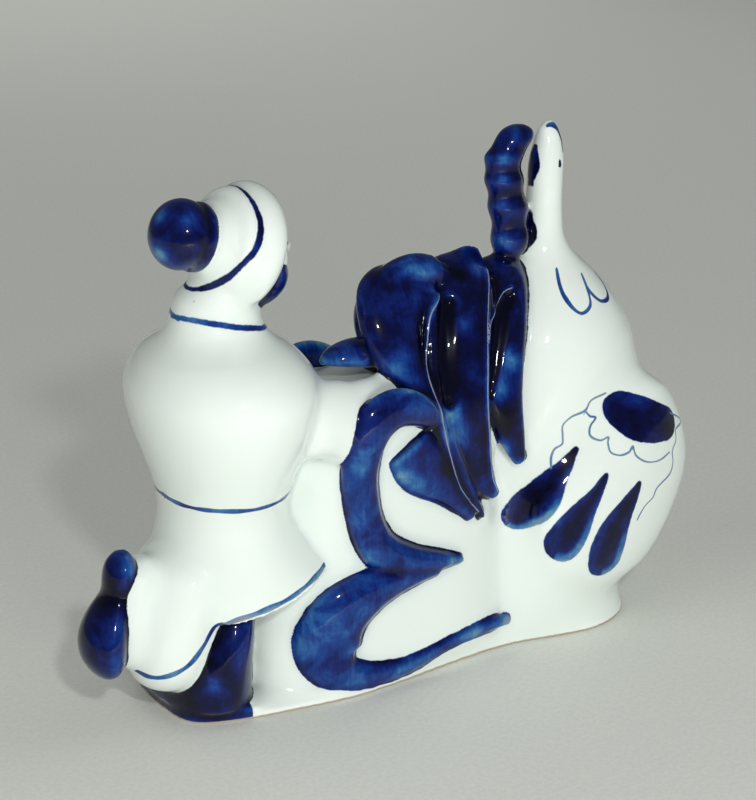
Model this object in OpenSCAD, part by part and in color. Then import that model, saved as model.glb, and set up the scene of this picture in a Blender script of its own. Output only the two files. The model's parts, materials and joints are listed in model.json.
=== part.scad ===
// Slip-cast porcelain table figurine: a kneeling man beside a crowing rooster.
// Frame: Z up, table at Z = 0, origin at the centre of the unglazed foot.
// X runs from the man (-X) to the rooster's breast (+X); the shown side is -Y.
// Every cast or hand-made piece is one module; joints are luted with slip.

/* [Foot] */
// thickness of the unglazed foot plate, mm
foot_t = 3; // [2:0.5:4]
// bore of the casting vent through the foot plate, mm
vent_d = 5; // [3:0.5:8]
// X position of the vent, mm
vent_x = 8; // [0:1:14]

/* [Castings] */
// wall of the hollow castings, mm
wall = 3; // [2:0.25:4]
// height of the man's waist above the table, mm
waist_z = 45; // [43:0.5:47]
// height of the man's collar above the table, mm
collar_z = 87.5; // [86:0.5:89]
// height where the rooster's neck is luted on, mm
neck_z = 92; // [91:0.5:93]

/* [Hat] */
// outer diameter of the round brim, mm
brim_d = 28; // [26:0.5:30]
// height of the crown above the brim, mm
crown_h = 10; // [9:0.5:11]
// diameter of the pompon, mm
pompon_d = 15.5; // [14:0.5:17]
// lean of the hat's axis below upright, degrees
hat_tilt = 72; // [68:1:78]

/* [Hidden] */
// points round a ring: castings, face, round pieces, plain pieces, small pieces, ribbons
cast_n = 36;
face_n = 44;
round_n = 28;
plain_n = 24;
small_n = 20;
ribbon_n = 14;
// spans that a smooth curve has between two stations, on level stacks and on swept pieces
level_k = 2;
sweep_k = 3;
// how deep touching pieces bed into each other, mm
bed = 1.5;
// hat: roll and half thickness of the brim, radius of the crown, turn about the man's own axis
roll_r = 4;
brim_h = 3.4;
crown_r = 11;
hat_turn = 6;
// furthest that the tail casting reaches back under the man
under_x = -44;
// inner walls stop this far below the closed top of a casting
lid = 5;
white = [0.93, 0.95, 0.93];
blue = [0.06, 0.14, 0.42];
bisque = [0.86, 0.82, 0.74];

// ---------- curves and skins ----------
function spline(a, b, c, d, t) = 0.5*(2*b + (c - a)*t + (2*a - 5*b + 4*c - d)*t*t
    + (3*b - a - 3*c + d)*t*t*t);
function at(S, u) = let (n = len(S) - 1, i = min(n - 1, floor(u)))
    spline(S[max(0, i - 1)], S[i], S[i + 1], S[min(n, i + 2)], u - i);
function fine(S, k) = [for (i = [0:(len(S) - 1)*k]) at(S, i/k)];
function unit(v) = v/norm(v);
function pw(c, e) = sign(c)*pow(abs(c), 2/e);

// ring of a level slice s = [z, cx, cy, rx, ry, turn, squareness]
function level(s, m) = let (t = s[5], e = s[6]) [for (j = [0:m - 1]) let (a = 360*j/m,
    x = s[3]*pw(cos(a), e), y = s[4]*pw(sin(a), e))
    [s[1] + x*cos(t) - y*sin(t), s[2] + x*sin(t) + y*cos(t), s[0]]];
// ring across a swept path: s = [x, y, z, ux, uy, uz, half width, half thickness, bend]
function across(s, w, m) = let (u0 = [s[3], s[4], s[5]], u = unit(u0 - (u0*w)*w), v = cross(w, u))
    [for (j = [0:m - 1]) let (a = 360*j/m, c = cos(a))
        [s[0], s[1], s[2]] + u*s[6]*c + v*(s[7]*sin(a) + s[8]*(c*c - 0.5))];
// the same ring with s[3..5] as the side that faces out of the surface it lies on
function laid(s, w, m) = let (o = [s[3], s[4], s[5]], v = unit(o - (o*w)*w), u = cross(v, w))
    [for (j = [0:m - 1]) let (a = 360*j/m, c = cos(a))
        [s[0], s[1], s[2]] + u*s[6]*c + v*(s[7]*(sin(a) > 0 ? 1 : 0.55)*sin(a))];
function pos(s) = [s[0], s[1], s[2]];
function heading(F, i) = unit(pos(F[min(len(F) - 1, i + 1)]) - pos(F[max(0, i - 1)]));

function wall_faces(n, m, o, flip) = [for (i = [0:n - 2], j = [0:m - 1], h = [0, 1])
    let (a = o + i*m + j, b = o + i*m + (j + 1) % m, c = a + m, d = b + m)
    flip ? (h == 0 ? [a, d, c] : [a, b, d]) : (h == 0 ? [a, c, d] : [a, d, b])];
// a flat end: a fan about point c, from m points starting at o
function cap_faces(m, o, c, flip) = [for (j = [0:m - 1]) let (a = o + j, b = o + (j + 1) % m)
    flip ? [c, b, a] : [c, a, b]];
// the flat rim between ring o and ring p
function rim_faces(m, o, p, flip) = [for (j = [0:m - 1], h = [0, 1]) let (k = (j + 1) % m)
    flip ? (h == 0 ? [o + j, p + j, p + k] : [o + j, p + k, o + k])
        : (h == 0 ? [o + j, p + k, p + j] : [o + j, o + k, p + k])];
function middle(r) = [for (i = [0:2]) [for (p = r) 1]*[for (p = r) p[i]]/len(r)];

// closed solid through a list of rings, first to last
module skin(R) {
    n = len(R); m = len(R[0]); c = n*m;
    polyhedron(points = concat([for (r = R) each r], [middle(R[0]), middle(R[n - 1])]), convexity = 6,
        faces = concat(wall_faces(n, m, 0, false), cap_faces(m, 0, c, false),
            cap_faces(m, (n - 1)*m, c + 1, true)));
}
// hollow casting: outer rings A, inner rings B, both start at the open foot; closed at the top
module bell(A, B) {
    na = len(A); nb = len(B); m = len(A[0]); o = na*m; c = o + nb*m;
    polyhedron(points = concat([for (r = A) each r], [for (r = B) each r],
            [middle(A[na - 1]), middle(B[nb - 1])]), convexity = 8,
        faces = concat(wall_faces(na, m, 0, false), cap_faces(m, (na - 1)*m, c, true),
            wall_faces(nb, m, o, true), cap_faces(m, o + (nb - 1)*m, c + 1, false),
            rim_faces(m, 0, o, false)));
}
// hollow casting open at both ends
module sleeve(A, B) {
    na = len(A); nb = len(B); m = len(A[0]); o = na*m;
    polyhedron(points = concat([for (r = A) each r], [for (r = B) each r]), convexity = 8,
        faces = concat(wall_faces(na, m, 0, false), wall_faces(nb, m, o, true),
            rim_faces(m, 0, o, false), rim_faces(m, (na - 1)*m, o + (nb - 1)*m, true)));
}
module levels(S, k, m) { skin([for (s = fine(S, k)) level(s, m)]); }
module sweep(S, k, m) { F = fine(S, k); skin([for (i = [0:len(F) - 1]) across(F[i], heading(F, i), m)]); }
module lay(S, k, m) { F = fine(S, k); skin([for (i = [0:len(F) - 1]) laid(F[i], heading(F, i), m)]); }
function slanted(s, k, m) = [for (p = level(s, m)) [p[0], p[1], p[2] + k*(p[0] - s[1])]];
function inset(s, w) = [s[0], s[1], s[2], s[3] - w, s[4] - w, s[5], s[6]];

// ---------- stations shared by touching pieces: [z, cx, cy, rx, ry, turn, squareness] ----------
// height of the coat's hem under the man's middle
hem_z = 27.5;
waist = [waist_z, -45.5, 0, 14, 17.2, 0, 2];
collar = [collar_z, -46.5, 0, 10.8, 11, 0, 2];
TUNIC = [waist, [51, -45.5, 0, 14.8, 18.8, 0, 2], [58, -45.3, 0, 17.2, 21.8, 0, 2],
    [67, -45, 0, 20.2, 25.2, 0, 2], [75, -45, 0, 21, 26.2, 0, 2], [81, -45.6, 0, 17.6, 21.8, 0, 2],
    [84.6, -46.2, 0, 13.8, 16, 0, 2], collar];
SKIRT = [[hem_z, -42, 0, 21.5, 22.5, 0, 2], [32, -43, 0, 19.8, 21.2, 0, 2],
    [38, -44.6, 0, 16.6, 19, 0, 2], waist];
// the hem hangs low behind and high in front: rise per mm of X at each skirt station
RISE = [[0.27], [0.17], [0.07], [0]];
NECK_ROOT = [neck_z, 42.8, 0, 6.6, 6.6, 0, 2];
BODY = [[foot_t, 36, 0, 26, 21.5, 0, 2.2], [8, 37, 0, 27, 22.5, 0, 2.2], [20, 38, 0, 27.5, 22.5, 0, 2.1],
    [34, 40, 0, 27, 21.5, 0, 2], [50, 42.5, 0, 26, 21.5, 0, 2], [62, 43.6, 0, 24, 21, 0, 2],
    [70, 44, 0, 21.6, 20.2, 0, 2], [78, 44, 0, 18, 16.8, 0, 2], [86, 43.8, 0, 11.4, 11, 0, 2], NECK_ROOT];
TAIL = [[foot_t, -9, 0, 37, 21.5, 0, 3], [12, -9, 0, 37, 21, 0, 3], [24, -7, 0, 35, 19.8, 0, 2.9],
    [32, -5, 0, 33, 19.2, 0, 2.9], [42, -4, 0, 32, 19.2, 0, 3], [54, -4, 0, 31, 19.2, 0, 3],
    [62, -3, 0, 29, 18, 0, 2.8], [66.5, -1, 0, 26, 15.4, 0, 2.5], [70, 2, 0, 18, 10, 0, 2.1]];
CREST = [[63, 6.8, 0, 14.7, 12.4, 0, 2.4], [72, 10.2, 0, 16.8, 11, 0, 2.4],
    [80, 13.2, 0, 18.2, 8.6, 0, 2.4],
    [86, 16.4, 0, 18.8, 5.4, 0, 2.4], [89.6, 18, 0, 16, 2, 0, 2.2]];
// plane where the tail casting is luted to the rooster casting
joint_x = 19;
// a station list read at any height
function at_z(S, z) = let (k = [for (i = [0:len(S) - 2]) if (z <= S[i + 1][0] || i == len(S) - 2) i][0],
    f = (z - S[k][0])/(S[k + 1][0] - S[k][0])) S[k] + (S[k + 1] - S[k])*max(0, min(1, f));
// x of the man's front at height z and offset y, bedded by g
function man_x(z, y, g) = let (s = at_z(concat(SKIRT, [for (i = [1:len(TUNIC) - 1]) TUNIC[i]]), z),
    q = 1 - pow(y/(s[4] - g), 2)) s[1] + (s[3] - g)*sqrt(max(0, q));
// a tail ring stops at the man and under the hem on one side, and at the joint plane on the other
function tail_ring(s, m, w) = [for (p = level(inset(s, w), m))
    let (lo = max(under_x, min(man_x(p[2], p[1], bed), SKIRT[0][1] + (p[2] - hem_z)/RISE[0][0])))
    [min(joint_x - w, max(lo + w, p[0])), p[1], p[2]]];
function body_ring(s, m, w) = [for (p = level(inset(s, w), m)) [max(joint_x + w, p[0]), p[1], p[2]]];
// a wing ring beds 1.5 mm into the rooster's side and no deeper
function wing_ring(s, m) = let (b = at_z(BODY, s[0])) [for (p = level(s, m))
    let (q = 1 - pow((p[0] - b[1])/(b[3] - bed), 2)) [p[0], min(p[1], -(b[4] - bed)*sqrt(max(0, q))), p[2]]];

// ---------- foot ----------
OUTLINE = [[-64, 0], [-63.5, -9], [-61, -14.5], [-54, -17.6], [-46, -19.4], [-36, -20.8], [-24, -22.2],
    [-10, -21.4], [6, -19.4], [22, -18.6], [36, -21.4], [47, -22], [57, -17], [62.5, -7], [63.4, 0]];
module foot_plate() color(bisque) {
    half = fine(OUTLINE, sweep_k);
    difference() {
        linear_extrude(foot_t) polygon(concat(half, [for (i = [len(half) - 2:-1:1])
            [half[i][0], -half[i][1] + 6*exp(-pow((half[i][0] + 25)/9, 2))]]));
        translate([vent_x, 0, -1]) cylinder(d = vent_d, h = foot_t + 2, $fn = 48);
    }
}

// ---------- the man ----------
module tunic() color(white) {
    A = fine(TUNIC, level_k);
    sub = [for (s = A) if (s[0] < collar_z - lid) inset(s, wall)];
    bell([for (s = A) level(s, round_n)], [for (s = sub) level(s, round_n)]);
}
module coat_skirt() color(white) {
    A = fine(SKIRT, level_k);
    k = fine(RISE, level_k);
    sleeve([for (i = [0:len(A) - 1]) slanted(A[i], k[i][0], round_n)],
        [for (i = [0:len(A) - 1]) slanted(inset(A[i], wall), k[i][0], round_n)]);
}
module coat_tail() color(white) levels([
    [7.4, -63, -5.4, 4, 4.5, 0, 2], [8.8, -63, -5.4, 7.4, 8, 0, 2], [13, -63, -5.4, 10, 11, 0, 2],
    [18, -62.6, -5.2, 10.8, 11.8, 0, 2], [25, -60.4, -4, 11.8, 12.6, 0, 2], [31, -57.6, -3, 12, 13, 0, 2],
    [36, -55.6, -2, 11, 12, 0, 2], [40, -53, -1, 7, 9, 0, 2]], level_k, plain_n);
module neck() color(white) levels([collar, [90.5, -46.4, 0, 10.2, 10.2, 0, 2],
    [97, -45.4, 0, 9.4, 9.6, 0, 2]], level_k, round_n);
// the head stops flat at the hat: its back lies in the plane of the brim's underside
hat_at = [-40.7, -2, 105.6];
hat_axis = [-sin(hat_tilt)*cos(hat_turn), -sin(hat_tilt)*sin(hat_turn), cos(hat_tilt)];
function faced(p, d) = let (q = p - hat_at, t = -(q*hat_axis) - d) t < 0 ? p + [-t/sin(hat_tilt), 0, 0] : p;
function bump(x, w) = exp(-x*x/(w*w));
function head_ring(s, m) = [for (j = [0:m - 1]) let (t = 360*j/m, a = t > 180 ? t - 360 : t,
    z = s[0] - 103.5, k = 1 + 0.26*bump(a, 13)*bump(z + 0.6, 2.1) + 0.08*bump(a, 16)*bump(z - 1.4, 2.4)
        - 0.06*(bump(a - 27, 13) + bump(a + 27, 13))*bump(z - 1.8, 1.9)
        + 0.05*(bump(a - 38, 16) + bump(a + 38, 16))*bump(z + 1.6, 2.2) + 0.05*bump(a, 40)*bump(z - 4.6, 2)
        + 0.07*bump(a, 18)*bump(z + 4.4, 1.3))
    faced([s[1] + s[3]*k*cos(a), s[2] + s[4]*k*sin(a), s[0]], brim_h)];
module head() color(white) skin([for (s = fine([[93.6, -38.5, -1, 2.4, 2.6, 0, 2],
    [94.4, -38.5, -1, 4.4, 4.8, 0, 2], [96.4, -38.5, -1, 6.6, 7.2, 0, 2], [99.4, -38.5, -1, 8.2, 8.8, 0, 2],
    [103.5, -38.5, -1, 8.8, 9.4, 0, 2], [107.6, -38.5, -1, 8.2, 8.8, 0, 2],
    [110.6, -38.3, -1, 6.6, 7, 0, 2],
    [112.6, -38, -1, 4, 4.6, 0, 2], [113.4, -37.8, -1, 1.8, 2.2, 0, 2]], 2)) head_ring(s, face_n)]);
module beard() color(blue) skin([for (s = fine([[91.6, -38.4, -1, 2.4, 3, 0, 2],
    [92.4, -38.2, -1, 4.6, 5.6, 0, 2],
    [95, -38, -1, 7.4, 8.4, 0, 2], [98.4, -38.2, -1, 8.8, 9.8, 0, 2], [101.6, -39, -1, 8.4, 10.2, 0, 2],
    [104, -40, -1, 6.6, 10, 0, 2]], 2)) [for (p = level(s, round_n)) faced(p, brim_h)]]);
module hat_place() translate(hat_at) rotate([0, 0, hat_turn]) rotate([0, -hat_tilt, 0]) children();
module hat_brim() color(white) hat_place() rotate_extrude($fn = 72) intersection() {
    union() {
        translate([brim_d/2 - roll_r, 0]) scale([1, 1.05]) circle(r = roll_r, $fn = 40);
        translate([0, -brim_h]) square([brim_d/2 - roll_r, 2*brim_h]);
    }
    translate([0, -10]) square([40, 20]);
}
module hat_crown() color(white) hat_place() translate([0, 0, brim_h]) rotate_extrude($fn = 72)
    intersection() {
        translate([0, -1]) scale([1, crown_h/crown_r]) circle(r = crown_r, $fn = 48);
        square([40, 40]);
    }
module hat_pompon() color(blue) hat_place() translate([0, 0, brim_h + crown_h + 2.5])
    scale([1, 1, 0.86]) sphere(d = pompon_d, $fn = 56);
module right_arm() color(white) lay([
    [-32, -14.6, 67.4, 0, -1, 0.3, 9, 6.4, 0], [-27, -14.4, 66, 0, -1, 0.3, 9.4, 6.6, 0],
    [-20, -14, 64.6, 0, -1, 0.3, 9.4, 6.2, 0], [-12, -12.6, 64.6, 0, -1, 0.3, 9.2, 5.8, 0],
    [-5, -11, 62.4, 0, -1, 0.3, 8, 5, 0], [1, -10, 60, 0, -1, 0.3, 4, 3, 0]], sweep_k, small_n);
module left_arm() color(white) lay([
    [-32, 15.6, 69, 0, 1, 0.2, 7.4, 6.4, 0], [-27, 17.6, 65.4, 0, 1, 0.2, 7.4, 6.6, 0],
    [-20, 18.6, 61, 0, 1, 0.2, 6.8, 6, 0], [-11, 17, 60, 0, 1, 0.2, 5.6, 5, 0],
    [-5, 15, 61, 0, 1, 0.2, 5, 4.4, 0]], sweep_k, small_n);
module left_hand() color(white) lay([
    [-6, 15.2, 60.8, 0, 1, 0.1, 3.4, 3, 0], [-2, 14.8, 61.6, 0, 1, 0.1, 4.6, 3.2, 0],
    [2, 14.2, 62.4, 0, 1, 0.1, 4.6, 3, 0], [5, 13, 62.6, 0, 1, 0.1, 2.4, 1.8, 0]], 3, 16);
module kneeling_leg() color(blue) levels([[foot_t, -54.2, -1, 10.8, 17.6, 0, 2.1],
    [6, -54.4, -1, 11, 18.4, 0, 2.1], [12, -54, -1, 10.8, 18.8, 0, 2.1], [20, -51.6, -1, 9, 18.4, 0, 2],
    [26, -49, 0, 7.6, 16, 0, 2], [30, -48, 0, 5, 12, 0, 2]], level_k, round_n);
module boot() color(white) levels([[13.6, -72, -4, 1.6, 2.6, 0, 2], [15, -72, -4, 4, 5.4, 0, 2],
    [19, -72, -4, 6, 7.4, 0, 2], [26, -71, -4, 6.8, 7.2, 0, 2], [32, -69.2, -3.6, 7, 6.8, 0, 2],
    [36.4, -68.4, -3.2, 5.4, 5.6, 0, 2], [38.6, -68, -3, 2, 2.4, 0, 2]], level_k, plain_n);
module boot_sole() color(blue) levels([[13, -78.6, -5, 1.2, 2.6, 0, 2], [14.4, -78.6, -5, 3, 5.4, 0, 2],
    [18, -79, -5, 4.6, 7.6, 0, 2], [23, -78.6, -4.8, 4.8, 7.8, 0, 2], [28, -76.8, -4.4, 3.8, 6.2, 0, 2],
    [31.6, -75, -4, 2.7, 4.4, 0, 2], [35, -74, -4, 3.3, 4.8, 0, 2], [38.6, -73.2, -4, 3.2, 4.4, 0, 2],
    [41, -72.6, -4, 1.4, 2.2, 0, 2]], level_k, plain_n);
module front_leg() color(blue) lay([[-38.6, 16.4, 28.4, 0, 1, 0, 7.6, 6, 0],
    [-35.4, 17, 28.6, 0, 1, 0, 8.2, 7.2, 0],
    [-30.5, 18.6, 26.4, 0, 1, 0, 7.6, 7, 0], [-28.4, 20, 18, 0, 1, 0, 6.6, 6.2, 0],
    [-29, 20.4, 9, 0, 1, 0, 5.6, 5.4, 0]], sweep_k, small_n);
module front_boot() color(white) levels([[foot_t, -24.6, 22.4, 8.6, 4.8, 0, 2.1],
    [4.4, -24.6, 22.4, 9.4, 5.6, 0, 2.1], [7, -25.4, 22.2, 8.4, 5.6, 0, 2],
    [10, -27.6, 21.6, 6.4, 5.6, 0, 2],
    [13, -28.8, 21, 5.6, 5.4, 0, 2]], level_k, plain_n);

// ---------- the rooster ----------
module rooster_body() color(white) {
    A = fine(BODY, level_k);
    bell([for (s = A) body_ring(s, cast_n - 4, 0)],
    [for (s = A) if (s[0] < neck_z - 2*lid) body_ring(s, cast_n - 4, wall)]);
}
module rooster_neck() color(white) levels([NECK_ROOT, [96, 42.4, 0, 4.9, 5, 0, 2],
    [102, 42.2, 0, 4.3, 4.5, 0, 2], [109, 42.4, 0, 4.2, 4.4, 0, 2], [114, 42.7, 0, 4.1, 4.1, 0, 2],
    [118, 43, 0, 3.3, 3.3, 0, 2]], level_k, round_n);
module rooster_beak() color(blue) levels([[118, 43, 0, 3.3, 3.3, 0, 2], [120.4, 43, 0, 2.5, 2.4, 0, 2],
    [121.8, 43.2, 0, 1.5, 1.4, 0, 2], [122.6, 43.4, 0, 0.5, 0.5, 0, 2]], level_k, small_n);
module rooster_comb() color(blue) levels([[91, 32.5, 0, 2, 2, 0, 2], [92.4, 32.6, 0, 4, 3.4, 0, 2],
    [95.8, 32.7, 0, 5.2, 4.3, 0, 2], [99.4, 32.4, 0, 4.4, 3.5, 0, 2], [103.4, 31.9, 0, 5.4, 4.4, 0, 2],
    [106.8, 31.2, 0, 4.4, 3.5, 0, 2], [110, 30.6, 0, 5.2, 4.2, 0, 2], [112.8, 30.3, 0, 4.4, 3.4, 0, 2],
    [115.6, 30.4, 0, 5.1, 4.1, 0, 2], [117.6, 32, 0, 4.7, 3.6, 0, 2], [119.8, 33.6, 0, 4.9, 3.9, 0, 2],
    [121.7, 34, 0, 3.6, 2.8, 0, 2], [122.6, 34.2, 0, 1.4, 1.2, 0, 2]], level_k, small_n);
module wing() skin([for (s = fine([[8, 44, -16, 8, 4, 4, 2], [11, 45, -17.5, 14, 6, 4, 2],
    [18, 46, -19.5, 19, 7, 4, 2],
    [28, 48, -20, 22.5, 7.6, 4, 2], [38, 50, -19.4, 24, 8, 4, 2], [47, 53, -18, 20, 8.4, 4, 2],
    [55, 56, -16, 14, 8, 4, 2], [60, 57, -15.6, 9, 6.4, 4, 2],
    [62.5, 57, -16, 4, 4, 4, 2]], level_k)) wing_ring(s, round_n)]);
module near_wing() color(white) wing();
module far_wing() color(white) mirror([0, 1, 0]) wing();

// ---------- the tail ----------
module tail_body() color(white) {
    A = fine(TAIL, level_k);
    bell([for (s = A) tail_ring(s, cast_n, 0)], [for (s = A) if (s[0] < 63) tail_ring(s, cast_n, wall)]);
}
module tail_crest() color(blue) levels(CREST, level_k, cast_n);
// a plume arches from its near root over the top to the far root, which lies further forward by d
function far_half(S, d) = [for (i = [len(S) - 2:-1:0]) [S[i][0] + d*min(1, i/4), -S[i][1], S[i][2],
    S[i][3], S[i][4], S[i][5], S[i][6], S[i][7], S[i][8]]];
module plume(S, d) sweep(concat(S, far_half(S, d)), level_k, ribbon_n);
BACK = [[13, -18.6, 35.6, 1, 0, 0, 0.8, 1, 0], [8.6, -19.4, 43, 1, 0, 0, 1.6, 1.8, 0],
    [4.6, -19.2, 51, 1, 0, 0, 2.2, 2.4, 0], [1.4, -18.2, 59, 1, 0, 0, 2.8, 2.8, 0],
    [-1.6, -15.8, 66, 1, 0, 0, 3.6, 3.2, 0], [-4.4, -12, 73, 1, 0, 0, 5.4, 3.6, 0],
    [-5.8, -9, 80.4, 1, 0, 0, 7.6, 4, 0],
    [-4, -5.2, 87.4, 1, 0, 0, 9, 4.2, 0], [2.4, 0, 90.8, 1, 0, 0, 7.2, 4.2, 0]];
MIDDLE = [[16.6, -18.6, 40, 1, 0, 0, 1.2, 1, 0], [13, -18.6, 45, 1, 0, 0, 3.4, 2, -0.6],
    [10, -18, 52, 1, 0, 0, 5.4, 2.4, -1], [8.8, -16.8, 62, 1, 0, 0, 7, 2.8, -1.2],
    [9.8, -14, 74, 1, 0, 0, 8, 3, -1.2], [14, -9.4, 84, 1, 0, 0, 7.4, 3.2, -0.8],
    [19, 0, 92.4, 1, 0, 0, 6.4, 3.4, 0]];
FRONT = [[24.4, -17.6, 46.5, 1, 0, 0, 1.6, 1, 0], [22.2, -17.2, 53, 1, 0, 0, 3.6, 2, -0.4],
    [20.6, -15.8, 62, 1, 0, 0, 5, 2.6, -0.8], [22.4, -12.8, 73, 1, 0, 0, 5.6, 2.8, -0.8],
    [26.4, -8.4, 82.6, 1, 0, 0, 5.2, 3, -0.4], [30.6, 0, 90, 1, 0, 0, 5, 3.2, 0]];
module plume_back() color(blue) plume(BACK, 8);
module plume_middle() color(blue) plume(MIDDLE, 0);
module plume_front() color(blue) plume(FRONT, 0);
module tail_leaf() color(blue) lay([[-22, -4, 75.5, 0, 0, 1, 0.5, 0.5, 0],
    [-19, -4, 75.8, 0, 0, 1, 3.4, 2.6, 0],
    [-13, -4, 75.6, 0, 0, 1, 5.4, 4.2, 0], [-6, -4, 74.6, 0, 0, 1, 5.6, 4, 0],
    [-2, -4, 74, 0, 0, 1, 3.4, 2.6, 0]], sweep_k, small_n);
UPPER = [[3, -17, 58.4, 0, -1, 0, 1.2, 1.4, 0], [-3, -19, 64.4, 0, -1, 0, 3.4, 2.6, 0],
    [-11, -19.6, 67.6, 0, -1, 0, 5, 3.4, 0], [-17.6, -19.4, 64.6, 0, -1, 0, 5.6, 3.8, 0],
    [-20.4, -18.4, 55.6, 0, -1, 0, 4.8, 3.8, 0], [-19.8, -18, 47, 0, -1, 0, 4.4, 3.6, 0],
    [-18.6, -18.6, 40, 0, -1, 0, 4.4, 3.6, 0], [-15.4, -19.4, 33.8, 0, -1, 0, 4.6, 3.6, 0],
    [-8, -19.8, 29.8, 0, -1, 0, 3.8, 3.2, 0], [0, -19.8, 28, 0, -1, 0, 2.4, 2.6, 0],
    [7, -19.4, 26.6, 0, -1, 0, 0.8, 1.2, 0]];
LOWER = [[0, -19.8, 26, 0, -1, 0, 1.6, 1.8, 0], [-9, -20, 26.2, 0, -1, 0, 3.4, 2.8, 0],
    [-18, -19.8, 24.6, -0.1, -1, 0, 5.4, 3.4, 0], [-26.6, -19, 19.6, -0.22, -1, 0, 7.6, 3.6, 0],
    [-29.8, -18.8, 11.8, -0.3, -1, 0, 8.2, 3.6, 0], [-26, -20, 5.6, -0.2, -1, 0, 4.8, 3, 0],
    [-18, -20.4, 4, 0, -1, 0, 3.3, 2.8, 0], [-9, -20.2, 4, 0, -1, 0, 2.6, 2.6, 0],
    [2, -19.4, 6.4, 0, -1, 0, 2.5, 2.4, 0], [12, -18.9, 7.4, 0, -1, 0, 2.2, 2.1, 0],
    [21, -18.6, 7.2, 0, -1, 0, 1.4, 1.4, 0]];
FAN = [[9.8, -19, 36.4, 0, -1, 0, 1.2, 1.2, 0], [3, -19.4, 44.4, 0, -1, 0, 3.4, 1.8, 0],
    [-4, -19.6, 51.6, 0, -1, 0, 6.6, 1.8, 0], [-8, -19.4, 57.6, 0, -1, 0, 6, 1.6, 0]];
module near_upper_curl() color(blue) lay(UPPER, sweep_k, ribbon_n);
module near_lower_curl() color(blue) lay(LOWER, sweep_k, ribbon_n);
module far_upper_curl() color(blue) mirror([0, 1, 0]) lay(UPPER, sweep_k, ribbon_n);
module far_lower_curl() color(blue) mirror([0, 1, 0]) lay(LOWER, sweep_k, ribbon_n);
module near_tail_fan() color(blue) lay(FAN, sweep_k, ribbon_n);
module far_tail_fan() color(blue) mirror([0, 1, 0]) lay(FAN, sweep_k, ribbon_n);

foot_plate();
tunic();
coat_skirt();
coat_tail();
neck();
head();
beard();
hat_brim();
hat_crown();
hat_pompon();
right_arm();
left_arm();
left_hand();
kneeling_leg();
boot();
boot_sole();
front_leg();
front_boot();
rooster_body();
rooster_neck();
rooster_beak();
rooster_comb();
near_wing();
far_wing();
tail_body();
tail_crest();
plume_back();
plume_middle();
plume_front();
tail_leaf();
near_upper_curl();
near_lower_curl();
far_upper_curl();
far_lower_curl();
near_tail_fan();
far_tail_fan();
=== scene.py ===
# %% [markdown]
# # A glazed porcelain figurine, step by step
# The object is a small table figurine: a man kneels behind a crowing rooster and holds its tail.
# It is slip-cast porcelain. The cast pieces are luted together with wet clay, painted with cobalt,
# dipped in clear glaze and fired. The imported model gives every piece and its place.

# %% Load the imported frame
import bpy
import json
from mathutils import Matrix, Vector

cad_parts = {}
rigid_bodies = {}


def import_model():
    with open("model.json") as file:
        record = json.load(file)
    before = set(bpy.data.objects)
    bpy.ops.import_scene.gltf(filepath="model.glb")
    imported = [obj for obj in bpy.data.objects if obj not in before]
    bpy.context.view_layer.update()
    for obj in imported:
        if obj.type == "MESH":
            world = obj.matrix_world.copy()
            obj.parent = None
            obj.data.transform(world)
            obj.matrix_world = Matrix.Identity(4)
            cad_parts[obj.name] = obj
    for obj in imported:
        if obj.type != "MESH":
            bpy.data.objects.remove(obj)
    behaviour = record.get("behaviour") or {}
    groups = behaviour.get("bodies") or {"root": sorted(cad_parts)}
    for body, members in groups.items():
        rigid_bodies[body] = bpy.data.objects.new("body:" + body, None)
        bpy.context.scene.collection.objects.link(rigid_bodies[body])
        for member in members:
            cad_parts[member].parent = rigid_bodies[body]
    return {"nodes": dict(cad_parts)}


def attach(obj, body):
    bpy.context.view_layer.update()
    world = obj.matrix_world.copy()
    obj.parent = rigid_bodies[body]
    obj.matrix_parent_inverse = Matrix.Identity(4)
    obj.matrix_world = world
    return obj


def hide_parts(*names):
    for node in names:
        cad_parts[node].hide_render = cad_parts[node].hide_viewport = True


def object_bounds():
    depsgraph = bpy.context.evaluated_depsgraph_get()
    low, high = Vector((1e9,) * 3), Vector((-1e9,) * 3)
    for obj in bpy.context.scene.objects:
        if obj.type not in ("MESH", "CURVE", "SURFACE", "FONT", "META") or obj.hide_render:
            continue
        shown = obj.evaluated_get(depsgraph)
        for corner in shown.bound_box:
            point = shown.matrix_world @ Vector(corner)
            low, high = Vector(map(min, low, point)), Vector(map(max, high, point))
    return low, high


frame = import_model()
cad_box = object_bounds()
print("pieces in the frame:", len(frame["nodes"]))

# %% Tools used all through
import json
from math import cos, pi, radians, sin

import bmesh
import bpy
import numpy as np
from mathutils import Matrix, Vector
from mathutils.bvhtree import BVHTree
from mathutils.kdtree import KDTree

MM = 0.001
PIECES = sorted(frame["nodes"])
BLUE = ["hat_pompon", "beard", "kneeling_leg", "front_leg", "rooster_comb", "rooster_beak", "tail_crest",
        "plume_back", "plume_middle", "plume_front", "tail_leaf", "near_upper_curl", "near_lower_curl",
        "far_upper_curl", "far_lower_curl", "near_tail_fan", "far_tail_fan", "boot_sole"]
WHITE = [name for name in PIECES if name not in BLUE]
scene = bpy.context.scene

# %% [markdown]
# ## 1. The camera
# The figurine stands about half a metre away. A long lens keeps it free of distortion. The plain
# Standard view keeps the glaze a clean white and the cobalt a deep blue.

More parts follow.
